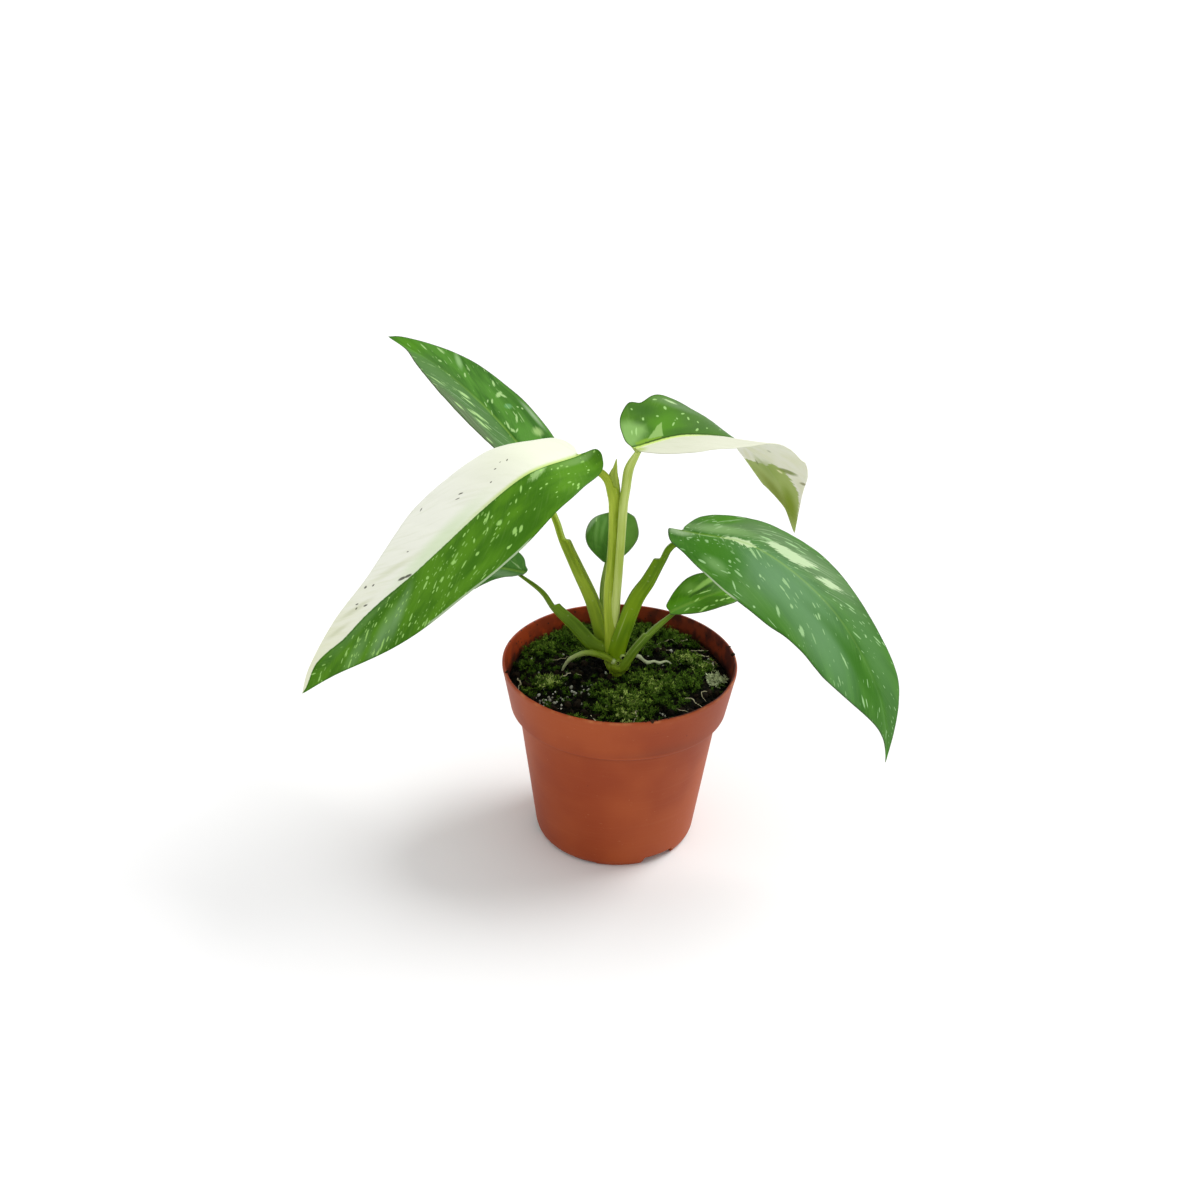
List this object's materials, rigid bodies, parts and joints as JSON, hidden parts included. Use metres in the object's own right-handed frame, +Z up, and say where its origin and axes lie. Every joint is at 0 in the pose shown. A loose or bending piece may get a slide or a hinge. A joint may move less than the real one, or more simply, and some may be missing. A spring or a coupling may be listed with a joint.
{
  "type": "potted variegated philodendron",
  "caption": "Young variegated aroid house plant with sheathed stalks and pointed half-cream leaves, growing in soil in a tapered, collared nursery pot.",
  "frame": {"origin": "middle of the pot's flat base, on the surface that it stands on", "axes": "+Z up along the pot's axis; +X towards the viewer's right and +Y away, as the plant is seen from its front"},
  "size_m": [0.29, 0.1866, 0.2315],
  "materials": {
    "terracotta_plastic": "satin moulded plastic",
    "potting_soil": "crumbly peat and bark mix with moss",
    "green_stem": "smooth, faintly ribbed",
    "aerial_root": "matt",
    "speckled_leaf": "semi-gloss, green with cream specks",
    "half_cream_leaf": "semi-gloss, one half cream and one green"
  },
  "bodies": {
    "root": {"pot": "terracotta_plastic", "soil": "potting_soil", "crown": "green_stem", "root_left": "aerial_root", "root_right": "aerial_root", "petiole_half_moon": "green_stem", "petiole_upper_left": "green_stem", "petiole_upper_right": "green_stem", "petiole_right": "green_stem", "petiole_back_small": "green_stem", "petiole_left_small": "green_stem", "petiole_right_small": "green_stem", "blade_half_moon": "half_cream_leaf", "blade_upper_left": "speckled_leaf", "blade_upper_right": "half_cream_leaf", "blade_right": "speckled_leaf", "blade_back_small": "speckled_leaf", "blade_left_small": "speckled_leaf", "blade_right_small": "speckled_leaf"}
  },
  "joints": []
}
